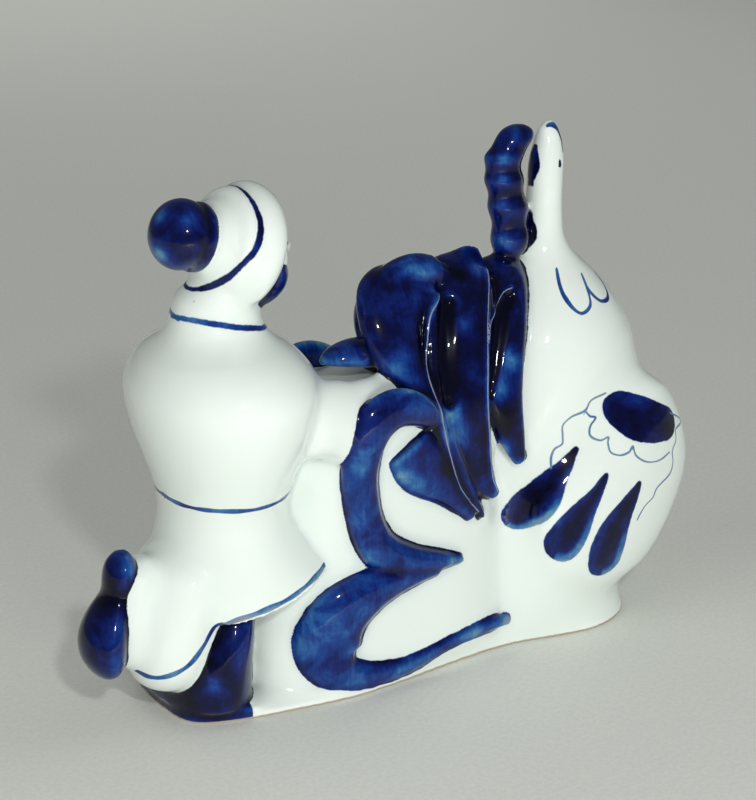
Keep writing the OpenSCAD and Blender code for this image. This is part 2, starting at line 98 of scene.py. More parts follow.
# %% The camera
CAMERA_TURN, CAMERA_RISE, CAMERA_AWAY = radians(-32), radians(20), 0.520
CAMERA_AIM = Vector((-0.004, 0.0, 0.062))
FILM_WIDTH, LENS, NEAREST = 36, 100.6, 0.01
away = Vector((sin(CAMERA_TURN) * cos(CAMERA_RISE), -cos(CAMERA_TURN) * cos(CAMERA_RISE), sin(CAMERA_RISE)))
camera = bpy.data.objects.new("camera", bpy.data.cameras.new("camera"))
scene.collection.objects.link(camera)
scene.camera = camera
camera.location = CAMERA_AIM + away * CAMERA_AWAY
camera.rotation_euler = away.to_track_quat("Z", "Y").to_euler()
camera.data.sensor_width = FILM_WIDTH
camera.data.lens = LENS
camera.data.clip_start = NEAREST
scene.view_settings.view_transform = "Standard"
print("camera at", [round(v, 3) for v in camera.location])

# %% [markdown]
# ## 2. The raw pieces
# Each piece of the frame is a faceted solid. A copy is merged into a proper surface, its triangles
# are paired into four-sided faces, and sharp rims are creased, so that subdivision rounds the
# faces and leaves the rims where they are. The work is done in millimetres, which keeps tiny faces
# away from the merging limits of the tools.

# %% Raw clay copies
RIM_ANGLE, PAIR_ANGLE, PAIR_SKEW = radians(52), radians(45), radians(60)
MERGE = 0.001
SUBDIVISIONS = 2
HOLLOW = ("tunic", "coat_skirt", "rooster_body", "tail_body")


def raw_copy(name):
    """A merged copy of a piece in millimetres, with four-sided faces and creased rims."""
    clay = bmesh.new()
    clay.from_mesh(frame["nodes"][name].data)
    bmesh.ops.scale(clay, verts=clay.verts, vec=(1 / MM,) * 3)
    bmesh.ops.remove_doubles(clay, verts=clay.verts, dist=MERGE)
    if name in HOLLOW:
        without_hollow(clay)
    bmesh.ops.join_triangles(clay, faces=clay.faces, angle_face_threshold=PAIR_ANGLE,
                             angle_shape_threshold=PAIR_SKEW)
    crease = clay.edges.layers.float.new("crease_edge")
    for edge in clay.edges:
        if edge.calc_face_angle(0) > RIM_ANGLE:
            edge[crease] = 1.0
    return clay


def without_hollow(clay, flat=0.9, down=-0.5, turned_in=0.2, above_foot=1):
    """Takes the inner walls off a hollow casting and closes its ends, so only its outside is left."""
    low, high = (Vector([pick(v.co[k] for v in clay.verts) for k in range(3)]) for pick in (min, max))
    inner = []
    for face in clay.faces:
        spot, normal = face.calc_center_median(), face.normal
        inwards = Vector(((low.x + high.x) / 2 - spot.x, (low.y + high.y) / 2 - spot.y, 0)).normalized()
        ceiling = normal.z < down and spot.z > low.z + above_foot
        if ceiling or (abs(normal.z) < flat and normal.dot(inwards) > turned_in):
            inner.append(face)
    bmesh.ops.delete(clay, geom=inner, context="FACES")
    bmesh.ops.holes_fill(clay, edges=[e for e in clay.edges if e.is_boundary], sides=0)


def finished(name, clay, *modifiers):
    """The Blender mesh that a bmesh gives after its modifiers, each a kind and its settings."""
    mesh = bpy.data.meshes.new(name)
    clay.to_mesh(mesh)
    clay.free()
    piece = bpy.data.objects.new(name, mesh)
    scene.collection.objects.link(piece)
    for kind, settings in modifiers:
        modifier = piece.modifiers.new(kind.lower(), kind)
        for setting, value in settings.items():
            setattr(modifier, setting, value)
    graph = bpy.context.evaluated_depsgraph_get()
    result = bpy.data.meshes.new_from_object(piece.evaluated_get(graph))
    bpy.data.objects.remove(piece)
    return result


def points_of(mesh):
    """Every vertex of a mesh as one array."""
    flat = np.empty(len(mesh.vertices) * 3, np.float32)
    mesh.vertices.foreach_get("co", flat)
    return flat.reshape(-1, 3).astype(float)


raw = {}
for name in PIECES:
    raw[name] = finished(name, raw_copy(name),
                         ("SUBSURF", dict(levels=SUBDIVISIONS, render_levels=SUBDIVISIONS)))
print("raw faces:", sum(len(m.polygons) for m in raw.values()))

# %% [markdown]
# ## 3. Luting: the pieces become one smooth surface
# A potter joins the pieces with slip and wipes the seams, so no crack is left between them.
# A voxel remesh does the same. The pieces are fused, the fine surface is relaxed, and slip is laid
# into every sharp hollow. The result is cut apart again later, so each piece stays a piece.

# %% Curves through knots
def curve_through(knots, per_span=12):
    """A smooth curve through the knots, with any columns after the point carried along."""
    knots = np.array(knots, float)
    padded = np.vstack([2 * knots[0] - knots[1], knots, 2 * knots[-1] - knots[-2]])
    steps = []
    for a, b, c, d in zip(padded, padded[1:], padded[2:], padded[3:]):
        for t in np.arange(per_span) / per_span:
            steps.append(0.5 * (2 * b + (c - a) * t + (2 * a - 5 * b + 4 * c - d) * t ** 2
                                + (3 * b - a - 3 * c + d) * t ** 3))
    return np.vstack([steps, knots[-1]])


def ring_about(at, axis, radius, half, turns=24):
    """Knots of a closed ring about an axis, each with the same half width."""
    at, axis = Vector(at), Vector(axis).normalized()
    aside = axis.cross(Vector((0, 0, 1))).normalized()
    upward = aside.cross(axis)
    angles = np.linspace(0, 2 * pi, turns + 1)
    return [(*(at + radius * (cos(a) * aside + sin(a) * upward)), half) for a in angles]


# %% [markdown]
# Where two raised pieces leave a slot between them, a thin coil of clay is pressed in first. Each
# coil is a row of small balls that vanish in the fused skin. A plug closes the casting vent on the
# inside, so that the skin stays one sheet.

# %% Fuse the pieces
VOXEL = 0.45
BALLS_PER_KNOT = 3
HAT_AT, HAT_AXIS = Vector((-40.7, -2, 105.6)), Vector((-0.946, -0.099, 0.309))
SLOT = [(5.2, -2.5, 90.2, 2.6), (5.2, -6.2, 87.2, 2.8), (4.4, -9.4, 83, 2.9), (3.4, -11.8, 78.5, 2.8),
        (2.4, -13.6, 74, 2.6), (2.2, -15.4, 69, 2.4), (2.6, -17, 62, 2.0)]
FAR_SLOT = [(x + 4.5 * (z > 70), -y, z, r) for x, y, z, r in SLOT]
HAT_RING = ring_about(HAT_AT + 4.6 * HAT_AXIS, HAT_AXIS, 9.9, 2.6)
POMPON_RING = ring_about(HAT_AT + 12.3 * HAT_AXIS, HAT_AXIS, 5.2, 2.6)
RIDGE = [(-7, -3, 88.6, 3.2), (-4.3, -3, 90.4, 3.8), (-0.8, -3, 92.2, 4.0), (3, -3, 93.1, 4.0),
         (6.8, -3, 92.6, 3.8), (10, -3, 90.8, 3.2)]
COILS = [SLOT, FAR_SLOT, HAT_RING, POMPON_RING, RIDGE]
PLUG = dict(x=8.0, radius=4.0, low=2.2, high=3.6)
extra = bmesh.new()
plug = bmesh.ops.create_cone(extra, cap_ends=True, segments=24, radius1=PLUG["radius"],
                             radius2=PLUG["radius"], depth=PLUG["high"] - PLUG["low"])
bmesh.ops.translate(extra, verts=plug["verts"], vec=(PLUG["x"], 0, (PLUG["low"] + PLUG["high"]) / 2))
for coil in COILS:
    for x, y, z, radius in curve_through(coil, BALLS_PER_KNOT):
        ball = bmesh.ops.create_icosphere(extra, subdivisions=2, radius=radius)
        bmesh.ops.translate(extra, verts=ball["verts"], vec=(x, y, z))
pressed_in = bpy.data.meshes.new("pressed_in")
extra.to_mesh(pressed_in)
extra.free()
heap = bmesh.new()
for mesh in [*(raw[name] for name in PIECES), pressed_in]:
    heap.from_mesh(mesh)
fused = finished("figurine", heap, ("REMESH", dict(mode="VOXEL", voxel_size=VOXEL)))
print("fused faces:", len(fused.polygons))

# %% [markdown]
# Any hollow left inside the fused form has a shell of its own. The largest shell is the outside.

# %% Keep the outside skin only
skin = bmesh.new()
skin.from_mesh(fused)
skin.verts.ensure_lookup_table()
loose = set(skin.verts)
shells = []
while loose:
    front = [loose.pop()]
    shell = list(front)
    while front:
        vert = front.pop()
        for edge in vert.link_edges:
            other = edge.other_vert(vert)
            if other in loose:
                loose.remove(other)
                front.append(other)
                shell.append(other)
    shells.append(shell)
shells.sort(key=len)
print("shells:", [len(s) for s in shells[-4:]])
for shell in shells[:-1]:
    bmesh.ops.delete(skin, geom=shell, context="VERTS")
skin.to_mesh(fused)
skin.free()

# %% [markdown]
# Most steps below compare each point with the mean of its neighbours, for all points at once.

# %% Neighbours on the skin
place = points_of(fused)
pairs = np.empty(len(fused.edges) * 2, np.int64)
fused.edges.foreach_get("vertices", pairs)
pairs = pairs.reshape(-1, 2)


def neighbour_mean(links, count):
    """A function that gives the mean of each point's neighbours, for the links between them."""
    degree = np.maximum(np.bincount(links.ravel(), minlength=count), 1).astype(float)

    def mean(values):
        columns = values.reshape(count, -1)
        total = [np.bincount(links[:, 0], column[links[:, 1]], count)
                 + np.bincount(links[:, 1], column[links[:, 0]], count) for column in columns.T]
        return (np.stack(total, axis=1) / degree[:, None]).reshape(values.shape)
    return mean


around = neighbour_mean(pairs, len(place))


def normals_of(points):
    """The vertex normals of the skin with its points moved."""
    fused.vertices.foreach_set("co", points.astype(np.float32).ravel())
    fused.update()
    flat = np.empty(len(points) * 3, np.float32)
    fused.vertex_normals.foreach_get("vector", flat)
    return flat.reshape(-1, 3).astype(float)


print("points in the skin:", len(place))

# %% [markdown]
# Each point of the skin belongs to the nearest piece. This is needed now, because seams between
# white pieces are wiped wider than the edges of the raised blue ornament.

# %% Nearest piece
def tree_of(names):
    """One search tree over the raw pieces, with the piece of each face."""
    points, faces, owners = [], [], []
    for index, name in enumerate(names):
        mesh = raw[name]
        start = sum(len(p) for p in points)
        points.append(points_of(mesh))
        faces += [[start + v for v in polygon.vertices] for polygon in mesh.polygons]
        owners += [index] * len(mesh.polygons)
    return BVHTree.FromPolygons(np.concatenate(points).tolist(), faces), np.array(owners)


tree, owners = tree_of(PIECES)
owner = owners[[tree.find_nearest(p)[2] for p in place.tolist()]]


def belongs(*names):
    """True at the points of the named pieces."""
    return np.isin(owner, [PIECES.index(n) for n in names])


def distance_to(spots, limit):
    """The distance of every point to the nearest of the given points, up to a limit."""
    search = KDTree(len(spots))
    for index, point in enumerate(place[spots].tolist()):
        search.insert(point, index)
    search.balance()
    return np.array([min(search.find(p)[2], limit) for p in place.tolist()])


print("points per piece:", {n: int((owner == i).sum()) for i, n in enumerate(PIECES)})

# %% [markdown]
# A wet finger along a seam leaves a soft hollow several millimetres wide. The points near the
# seams between white pieces move to the middle of their neighbours again and again, and the
# points further away hold still.

# %% Wipe the seams between white pieces
WIPE, WIPE_FADE, WIPE_ROUNDS = 7.5, 5.2, 300
TOUCH, TOUCH_FADE, TOUCH_ROUNDS = 3.4, 2.4, 40
KEEP_OFF, FOOT_MARGIN = 3.0, 1.5
STEP = 0.5
CRISP = ("head", "left_hand", "front_boot")
SHARP_SEAMS = [("coat_skirt", "tail_body"), ("coat_skirt", "foot_plate"), ("hat_brim", "neck")]
LIGHT_SEAMS = [("hat_brim", "hat_crown"), ("tunic", "right_arm"), ("tunic", "tail_body"),
               ("tunic", "left_arm"), ("coat_tail", "coat_skirt"), ("boot", "coat_tail")]
first, second = owner[pairs[:, 0]], owner[pairs[:, 1]]
white = belongs(*WHITE) & ~belongs(*CRISP)


def seams(names):
    """The links of the skin that cross a seam between the pieces named in pairs."""
    crossing = np.zeros(len(pairs), bool)
    for one, other in names:
        one, other = PIECES.index(one), PIECES.index(other)
        crossing |= ((first == one) & (second == other)) | ((first == other) & (second == one))
    return crossing


def near_seams(links, width, fade):
    """A weight that is 1 on the seams and falls to 0 beside them, and at blue pieces and the foot."""
    weight = np.clip((width - distance_to(np.unique(pairs[links]), width)) / fade, 0, 1)
    off_blue = np.clip(distance_to(np.where(belongs(*BLUE))[0], KEEP_OFF) / KEEP_OFF, 0, 1)
    return weight * off_blue * (place[:, 2] > FOOT_MARGIN)


all_seams = (first != second) & white[pairs[:, 0]] & white[pairs[:, 1]]
light, sharp = seams(LIGHT_SEAMS), seams(SHARP_SEAMS)
wiped = near_seams(all_seams & ~light & ~sharp, WIPE, WIPE_FADE)
wiped *= np.clip(distance_to(np.unique(pairs[sharp | light]), KEEP_OFF) / KEEP_OFF, 0, 1)
touched = near_seams(light, TOUCH, TOUCH_FADE)


def soften(points, weight, rounds):
    """Moves weighted points to the middle of their neighbours, round after round."""
    links = pairs[(weight[pairs] > 0).any(axis=1)]
    used = np.unique(links)
    rank = np.zeros(len(points), np.int64)
    rank[used] = np.arange(len(used))
    middle = neighbour_mean(rank[links], len(used))
    part, share = points[used], STEP * weight[used][:, None]
    for turn in range(rounds):
        part += share * (middle(part) - part)
    points[used] = part


soften(place, wiped, WIPE_ROUNDS)
soften(place, touched, TOUCH_ROUNDS)
print("wiped points:", int((wiped > 0).sum()))

# %% [markdown]
# The relaxing is plain arithmetic on all points at once: each point moves towards the middle of
# its neighbours and part of the way back, which takes off the voxel steps and keeps the volume.
# The slip only moves points outwards, and only where the surface is hollow.

# %% Relax the skin and lay slip in the hollows
SOFTEN, HOLD, SOFTEN_ROUNDS = 0.5, -0.52, 7
SLIP, SLIP_ROUNDS = 0.6, 26
NORMALS_EVERY, LAST_ROUNDS = 5, 3


def relax(points, rounds):
    """Takes off small steps without shrinking the form."""
    for turn in range(rounds):
        points += SOFTEN * (around(points) - points)
        points += HOLD * (around(points) - points)


relax(place, SOFTEN_ROUNDS)
for turn in range(SLIP_ROUNDS):
    if turn % NORMALS_EVERY == 0:
        outward = normals_of(place)
    dip = ((around(place) - place) * outward).sum(1)
    place += outward * (SLIP * np.maximum(dip, 0))[:, None]
relax(place, LAST_ROUNDS)
outward = normals_of(place)
print("softened")

# %% [markdown]
# ## 4. Tooling the soft clay
# Hollows are pressed between the plumes and thin rims are pinched up beside them. A tool mark
# is a smooth curve on the skin: points near it move in or out along their normals.

# %% Curves on the skin
NO_PAINT, FAR_OFF, OUTSIDE = -9.0, 9.0, 60


def along_curve(curve, reach=10.0, depth=1.0):
    """For points near a curve of x, y, z, half width: distance inside it, run, place across, past its end."""
    curve = curve * (1, depth, 1, 1)
    flat = place * (1, depth, 1)
    near = ((flat > curve[:, :3].min(0) - reach) & (flat < curve[:, :3].max(0) + reach)).all(1)
    spots = np.where(near)[0]
    inside = np.full(len(place), NO_PAINT)
    run, across, past = np.zeros(len(place)), np.full(len(place), FAR_OFF), np.zeros(len(place))
    start, stop = curve[:-1], curve[1:]
    span = stop[:, :3] - start[:, :3]
    length = np.maximum(np.linalg.norm(span, axis=1), 1e-6)
    travelled = np.concatenate([[0], np.cumsum(length)])
    best = np.full(len(spots), -np.inf)
    for k in range(len(span)):
        offset = flat[spots] - start[k, :3]
        free = (offset @ span[k]) / length[k] ** 2
        t = np.clip(free, 0, 1)
        gap = offset - t[:, None] * span[k]
        half = start[k, 3] + t * (stop[k, 3] - start[k, 3])
        distance = np.linalg.norm(gap, axis=1)
        better = half - distance > best
        best[better] = (half - distance)[better]
        chosen = spots[better]
        side = np.where((np.cross(span[k], gap) * outward[spots]).sum(1) < 0, -1.0, 1.0)
        inside[chosen] = best[better]
        run[chosen] = (travelled[k] + t * length[k])[better]
        across[chosen] = (side * distance)[better]
        past[chosen] = (abs(free - t) * length[k])[better] * (k in (0, len(span) - 1))
    return inside, run, across, past, travelled[-1]


skin_tree = BVHTree.FromPolygons(place.tolist(), [list(p.vertices) for p in fused.polygons])


def on_skin(knots, side=-1):
    """Puts knots on the skin: x, z, half are dropped from one side, x, y, z, half go to the nearest place."""
    lifted = []
    for knot in curve_through(knots):
        if len(knot) == 3:
            hit = skin_tree.ray_cast(Vector((knot[0], side * OUTSIDE, knot[1])), Vector((0, -side, 0)))[0]
        else:
            hit = skin_tree.find_nearest(Vector((knot[0], knot[1] * -side, knot[2])))[0]
        if hit is not None:
            lifted.append((*hit, knot[-1]))
    return np.array(lifted)


# %% Press the hollows, pinch the rims
RIMS = [
    [(7.1, 88, 0.8), (3.1, 84.9, 1.0), (0.8, 78.8, 1.0), (-0.7, 72.5, 1.0), (0, 66.1, 0.9),
     (1.3, 56.9, 0.9), (4.6, 46.5, 0.8), (8, 41.2, 0.7), (10.9, 37.8, 0.5)],
    [(22, 91.2, 0.8), (21.6, 90.1, 1.0), (18.8, 85.6, 1.0), (16.4, 79.6, 1.0), (15.1, 72, 1.0),
     (14.1, 64.2, 0.9), (14.2, 54.6, 0.9), (14.6, 46.1, 0.8), (16.8, 41.1, 0.6)],
    [(27.3, 86.6, 0.7), (24.5, 85.7, 0.8), (21.8, 83.5, 0.8), (17.9, 81, 0.8), (16.2, 77, 0.8)],
]
HOLLOWS = [
    [(9, 86.3, 2.4), (6.5, 83.1, 3.4), (4.8, 78.1, 4.2), (3.9, 72.8, 4.2), (3.9, 67.2, 3.2),
     (4.4, 64.6, 1.8)],
    [(26, 84.9, 2.4), (22.4, 80.9, 3.2), (19.6, 75.4, 3.2), (17.3, 69, 2.4), (16, 64.5, 1.2)],
]
PRESS, PINCH, TOOLED_ROUNDS = -1.2, 0.5, 2
for marks, depth in ((HOLLOWS, PRESS), (RIMS, PINCH)):
    for knots in marks:
        for side in (-1, 1):
            curve = on_skin(knots, side)
            inside = along_curve(curve)[0]
            half = np.interp(place[:, 2], np.sort(curve[:, 2]), curve[np.argsort(curve[:, 2]), 3])
            deep = np.clip(inside / half, 0, 1)
            place += outward * (depth * deep * deep * (3 - 2 * deep))[:, None]
relax(place, TOOLED_ROUNDS)
outward = normals_of(place)
skin_tree = BVHTree.FromPolygons(place.tolist(), [list(p.vertices) for p in fused.polygons])

# %% [markdown]
# How hollow or raised the surface is decides how thick the glaze and the paint lie there. It also
# gives painted shade in the hollows and painted light on the ridges. The bend of the surface is
# measured at every point and spread over about two millimetres.

# %% Measure hollows and ridges
SPREAD, SPREAD_ROUNDS, BEND_GAIN = 0.6, 12, 14
bend = ((around(place) - place) * outward).sum(1) / VOXEL
for turn in range(SPREAD_ROUNDS):
    bend = 0.4 * bend + SPREAD * around(bend)
hollow = np.clip(bend * BEND_GAIN, -1, 1)
print("hollow spread:", np.percentile(hollow, [2, 50, 98]).round(3))

# %% [markdown]
# ## 5. Painting with cobalt
# The painter works with a loaded brush: every stroke starts dark and ends as a wash. Each stroke
# is laid on the skin as numbers at its points. The first is the distance in millimetres to the
# paint's edge, positive inside. The second is how much cobalt lies there; later patches add
# painted light and shade to it. The brush's own direction gives the streaks.

# %% The paint
LINE_REACH, LINE_WIDEST = 4.0, 1.1
edge = np.full(len(place), NO_PAINT)
load = np.zeros(len(place))
brush = place[:, [2, 0]].copy()
liner = np.column_stack([np.full(len(place), FAR_OFF), np.full(len(place), NO_PAINT), np.zeros(len(place))])


def lay(distance, amount, direction=None, where=None):
    """Adds one area of paint; the stronger cover wins."""
    distance = distance if where is None else np.where(where, distance, NO_PAINT)
    wins = distance > edge
    edge[wins] = distance[wins]
    load[wins] = np.broadcast_to(amount, edge.shape)[wins]
    if direction is not None:
        brush[wins] = direction[wins]


def whole(names, amount, spill=0.25, rounds=10):
    """Paints whole pieces, a little over their borders, with the steps of the borders smoothed away."""
    cover = belongs(*names).astype(float)
    for turn in range(rounds):
        cover = around(cover)
    lay((cover - 0.5) * 2.5 * VOXEL * (rounds / 2) ** 0.5 + spill, amount)


def stroke(knots, tone=0.6, fade=0.0, wash=0.0, core=0.0, sides=(-1, 1), where=None, depth=1.0):
    """A wide stroke on each side: it fades along its run, its middle may be darker, and it may end in a wash.

    The wash lies on the lower right rim of the stroke's second half, where the brush leaves the least cobalt.
    """
    for side in sides:
        inside, run, across, past, total = along_curve(on_skin(knots, side), depth=depth)
        ahead = run / total
        half = np.maximum(inside + abs(across), 0.2)
        lean = np.clip(across / half, -1, 1) * -side
        outer, late, lower = (0.5 - inside / half) * 5, (ahead - 0.55) * 4, lean * 5
        rim = np.clip(outer, 0, 1) * np.clip(late, 0, 1) * np.clip(lower, 0, 1)
        amount = tone - fade * ahead + core * np.clip(inside / half, 0, 1) - wash * rim
        facing = (place[:, 1] * side > -2) | (len(sides) == 1)
        lay(inside, amount, np.stack([run, across], 1), facing if where is None else facing & where)


def line(knots, tone=0.5, fade=0.0, sides=(-1, 1), where=None, shake=0.12):
    """A thin liner-brush line. Its two sides are told apart, so that it stays thin and unbroken."""
    for side in sides:
        inside, run, across, past, total = along_curve(on_skin(knots, side), LINE_REACH)
        wobble = 1 + shake * np.sin(run * 0.9) + shake * np.sin(run * 0.37 + side)
        half = (inside + abs(across)) * wobble - past
        wins = (abs(across) < LINE_WIDEST) & (half - abs(across) > liner[:, 1] - abs(liner[:, 0]))
        if where is not None:
            wins &= where
        liner[wins] = np.column_stack([across, half, tone - fade * run / total])[wins]


def tint(x, y, z, radius, change, sides=(-1, 1)):
    """Makes the paint lighter or darker in one soft patch."""
    for side in sides:
        reach = np.linalg.norm(place - (x, y * -side, z), axis=1) / radius
        load[:] += change * np.exp(-reach * reach)


# %% Whole pieces painted blue
whole(["plume_back", "plume_middle", "plume_front", "tail_crest"], 0.84, spill=0.6)
whole(["near_upper_curl", "near_lower_curl", "far_upper_curl", "far_lower_curl"], 0.62)
whole(["near_tail_fan", "far_tail_fan", "tail_leaf", "beard"], 0.7)
whole(["rooster_comb", "front_leg", "kneeling_leg"], 0.86)
whole(["hat_pompon", "boot_sole"], 0.86)
BLUE_FOOT_ENDS, BLUE_FOOT_TONE = -48.9, 0.8
lay(np.minimum(BLUE_FOOT_ENDS - place[:, 0], 1.0), BLUE_FOOT_TONE, where=belongs("foot_plate"))
print("painted points:", int((edge > 0).sum()))

# %% [markdown]
# The wing has an oval on its shoulder, a scalloped lace round it and three teardrop feathers. A
# knot is x, z and half the stroke's width where it is dropped on the skin from the side, and has
# its y as well where the skin turns away.

# %% Strokes on the rooster
TEARDROPS = [
    [(37.1, 48.7, 0.7), (35.6, 47.2, 1.0), (33.6, 45, 1.5), (31.2, 42.6, 2.1), (28.8, 39.4, 2.9),
     (26.2, 35.8, 3.4), (23.6, 32.6, 3.1)],
    [(42.8, 42.2, 0.8), (42, 41.1, 1.2), (39.7, 38.1, 2.0), (36.4, 34.3, 3.4), (33.6, 30.2, 4.8),
     (31.8, 27.2, 5.1)],
    [(52.7, 38, 0.9), (51, 35.7, 1.9), (48, 31.9, 3.2), (45.4, 27.9, 4.6), (44, 23.8, 5.4),
     (43.6, 20.8, 5.2)],
]
# the first feather crosses the step of the wing's edge, so depth counts for less in its width
STEPPED = 0.25
for knots in TEARDROPS:
    stroke(knots, tone=0.54, core=0.4, wash=0.36, depth=STEPPED if knots is TEARDROPS[0] else 1.0)
stroke([(48.1, 57.1, 3.1), (50, 56.1, 4.6), (53.3, 54.1, 5.6), (58, 52.1, 5.2), (62.8, 50.5, 4.3)],
       tone=0.6, fade=-0.24, core=0.2)

# %% The lace round the oval
PALE, MIDDLE_BLUE, DEEP = 0.12, 0.4, 0.6
FINE = 0.25
SCALLOPS = [
    [(46.6, 60.5), (42.3, 59.5), (40.5, 57.3), (37, 56.2), (34.8, 54.4), (34.6, 52), (34.3, 50),
     (32.5, 48.9), (31.5, 47), (31, 44.5)],
    [(40.6, 57), (41.7, 55.7), (43.1, 55.2), (41.4, 53.4), (41, 51.3), (42.9, 50.2), (45.1, 50.7),
     (44.6, 49.5), (44.8, 47.4), (47.2, 46.3), (49.8, 46.6), (51.1, 47.7), (51.9, 45.3), (55.3, 43),
     (59.7, 42.3), (63.6, 43.2)],
    [(65.1, 52.3), (69, 50), (70.1, 48.4), (66.8, 47.9), (66.4, 45.3), (64.8, 43.2), (65, 40.1),
     (63.9, 37.6), (60.4, 36), (58.7, 35), (57.8, 33.3), (55.1, 31.8), (53.4, 29.9), (52.6, 28.7)],
]
for knots in SCALLOPS:
    line([(x, z, FINE) for x, z in knots], tone=PALE)

# %% Breast, dark crescents beside the comb, beak and eye
HAIRLINE, BARE_RIM = 0.13, -0.2
BREAST = belongs("rooster_body", "rooster_neck")
line([(40.6, -8, 89, 0.35), (39.8, -10.7, 84.6, 0.5), (40.6, -13.3, 81, 0.5), (42.6, -14.9, 79, 0.5),
      (45.4, -14.3, 80, 0.45), (46.4, -12.9, 82.2, 0.4), (46.8, -9.4, 87, 0.3)], tone=0.4, sides=(-1,),
     where=BREAST)
line([(46.6, -11.6, 84.4, 0.35), (47.8, -12.7, 81.9, 0.45), (49.8, -13, 80.2, 0.5),
      (52.6, -11.4, 80.2, 0.45), (54, -9, 83, 0.4), (53, -7, 86, 0.3)], tone=0.42, sides=(-1,),
     where=BREAST)
# two dark crescents on the neck, in the recess where the comb meets it
stroke([(36.6, -1.2, 102.4, 0.8), (36.8, -0.8, 100.4, 1.6), (36.8, -0.8, 98.1, 1.8),
        (36.6, -0.8, 95.7, 1.5), (36.2, -1, 94.2, 0.7)],
       tone=0.9, where=BREAST)
stroke([(38.9, 0.2, 116.8, 0.7), (38.6, -0.4, 115, 1.3), (38.4, -0.8, 112.6, 1.7), (38, -0.4, 110.2, 1.4),
        (37.6, 0.6, 108, 0.7)], tone=0.9)
stroke([(41.4, -1.4, 122.2, 0.4), (43.8, -1.8, 121.8, 0.9), (45.2, -2.2, 119.6, 0.7),
        (45.4, -2.9, 117, 0.5), (45.2, -3, 115.4, 0.25)],
       tone=0.85)
line([(43.7, -4, 113.7, 0.45), (43.8, -4, 112.3, 0.6)], tone=0.95)
for rim in RIMS:
    line([(x, z, HAIRLINE) for x, z, half in rim], tone=BARE_RIM)
print("rooster painted")

# %% [markdown]
# The man has a belt, a collar, a hem and a band round his hat, each one line of a loaded brush.

# %% Lines on the man
COAT = belongs("tunic", "coat_skirt", "neck")
level = [(x, y, 50.3, 0.6) for x, y in ((-29, -10), (-35, -16.4), (-45, -19), (-55, -15), (-61, 0))]
line(level, tone=MIDDLE_BLUE, where=COAT)
stroke([(-55.4, 6, 90.8, 0.5), (-56.1, 1, 91.2, 0.55), (-54.8, -5.1, 91.7, 0.65), (-51.8, -8.4, 91.3, 0.7),
        (-46.7, -10.3, 90.1, 0.7), (-42.8, -9.8, 89, 0.7), (-39.4, -8.1, 87.8, 0.65),
        (-36.6, -4.5, 87, 0.5), (-34.8, 0, 86.6, 0.5)],
       tone=0.28, fade=-0.32, where=belongs("tunic", "neck"))
line([(-24, -11.5, 34.2, 0.3), (-26.5, -15.4, 33.4, 0.45), (-31, -19.2, 32, 0.55),
      (-40.4, -22.3, 29.3, 0.6), (-48.5, -21.4, 27.1, 0.6), (-54.5, -18.4, 24.8, 0.6),
      (-59.3, -16.5, 20.4, 0.6), (-62.9, -17, 17, 0.65), (-66.7, -16.1, 14.8, 0.7),
      (-70.1, -13.4, 13.5, 0.65), (-72.3, -10, 13.8, 0.6), (-74.7, -6, 15.8, 0.5)],
     tone=0.32, fade=-0.1, where=belongs("coat_skirt", "coat_tail"))
stroke([(-41.4, -0.5, 117.1, 0.35), (-41, -8.2, 115.7, 0.6), (-41.4, -12.6, 112.1, 0.75),
        (-43, -13.1, 108.3, 0.8), (-46.6, -12.1, 103.6, 0.7), (-49.3, -8.4, 100.1, 0.9),
        (-51.6, -3, 97.4, 0.6), (-52.2, 1, 97, 0.5), (-50.5, 5.5, 98.5, 0.7), (-46.6, 8.6, 103, 0.8),
        (-43.4, 9.6, 108.3, 0.7), (-41.6, 8.4, 112.6, 0.6), (-41.2, 4.4, 115.8, 0.5),
        (-41.4, -0.5, 117.1, 0.35)], tone=0.75, sides=(-1,))

# %% [markdown]
# His face is a plain one, as such painters give to every figure: two brows, two eyes, a moustache
# and a mouth above the beard.

# %% A plain painted face
for brow_end, brow_top, eye in (((-31, -7, 106), (-30, -5, 107), -3.8),
                                ((-31, 5, 106), (-30, 3, 107), 1.8)):
    inner = eye + (1.6 if eye < 0 else -1.6)
    line([(*brow_end, 0.25), (*brow_top, 0.4), (-29.6, inner, 106.8, 0.25)], tone=DEEP, sides=(-1,))
    line([(-29.8, eye - 1.2, 104.3, 0.25), (-29.4, eye, 104.8, 0.45), (-29.4, eye + 1.2, 104.3, 0.25)],
         tone=0.8, sides=(-1,))
for end in (-6, 4):
    line([(-28.6, -1 + 0.2 * (end + 1), 101.8, 0.5), (-29, -1 + 0.6 * (end + 1), 101.4, 0.7),
          (-31, end, 99.8, 0.3)],
         tone=0.6, sides=(-1,))
line([(-28.4, -1.6, 99.9, 0.3), (-28.3, -1, 99.8, 0.4), (-28.4, -0.4, 99.9, 0.3)], tone=0.75, sides=(-1,))
print("man painted")
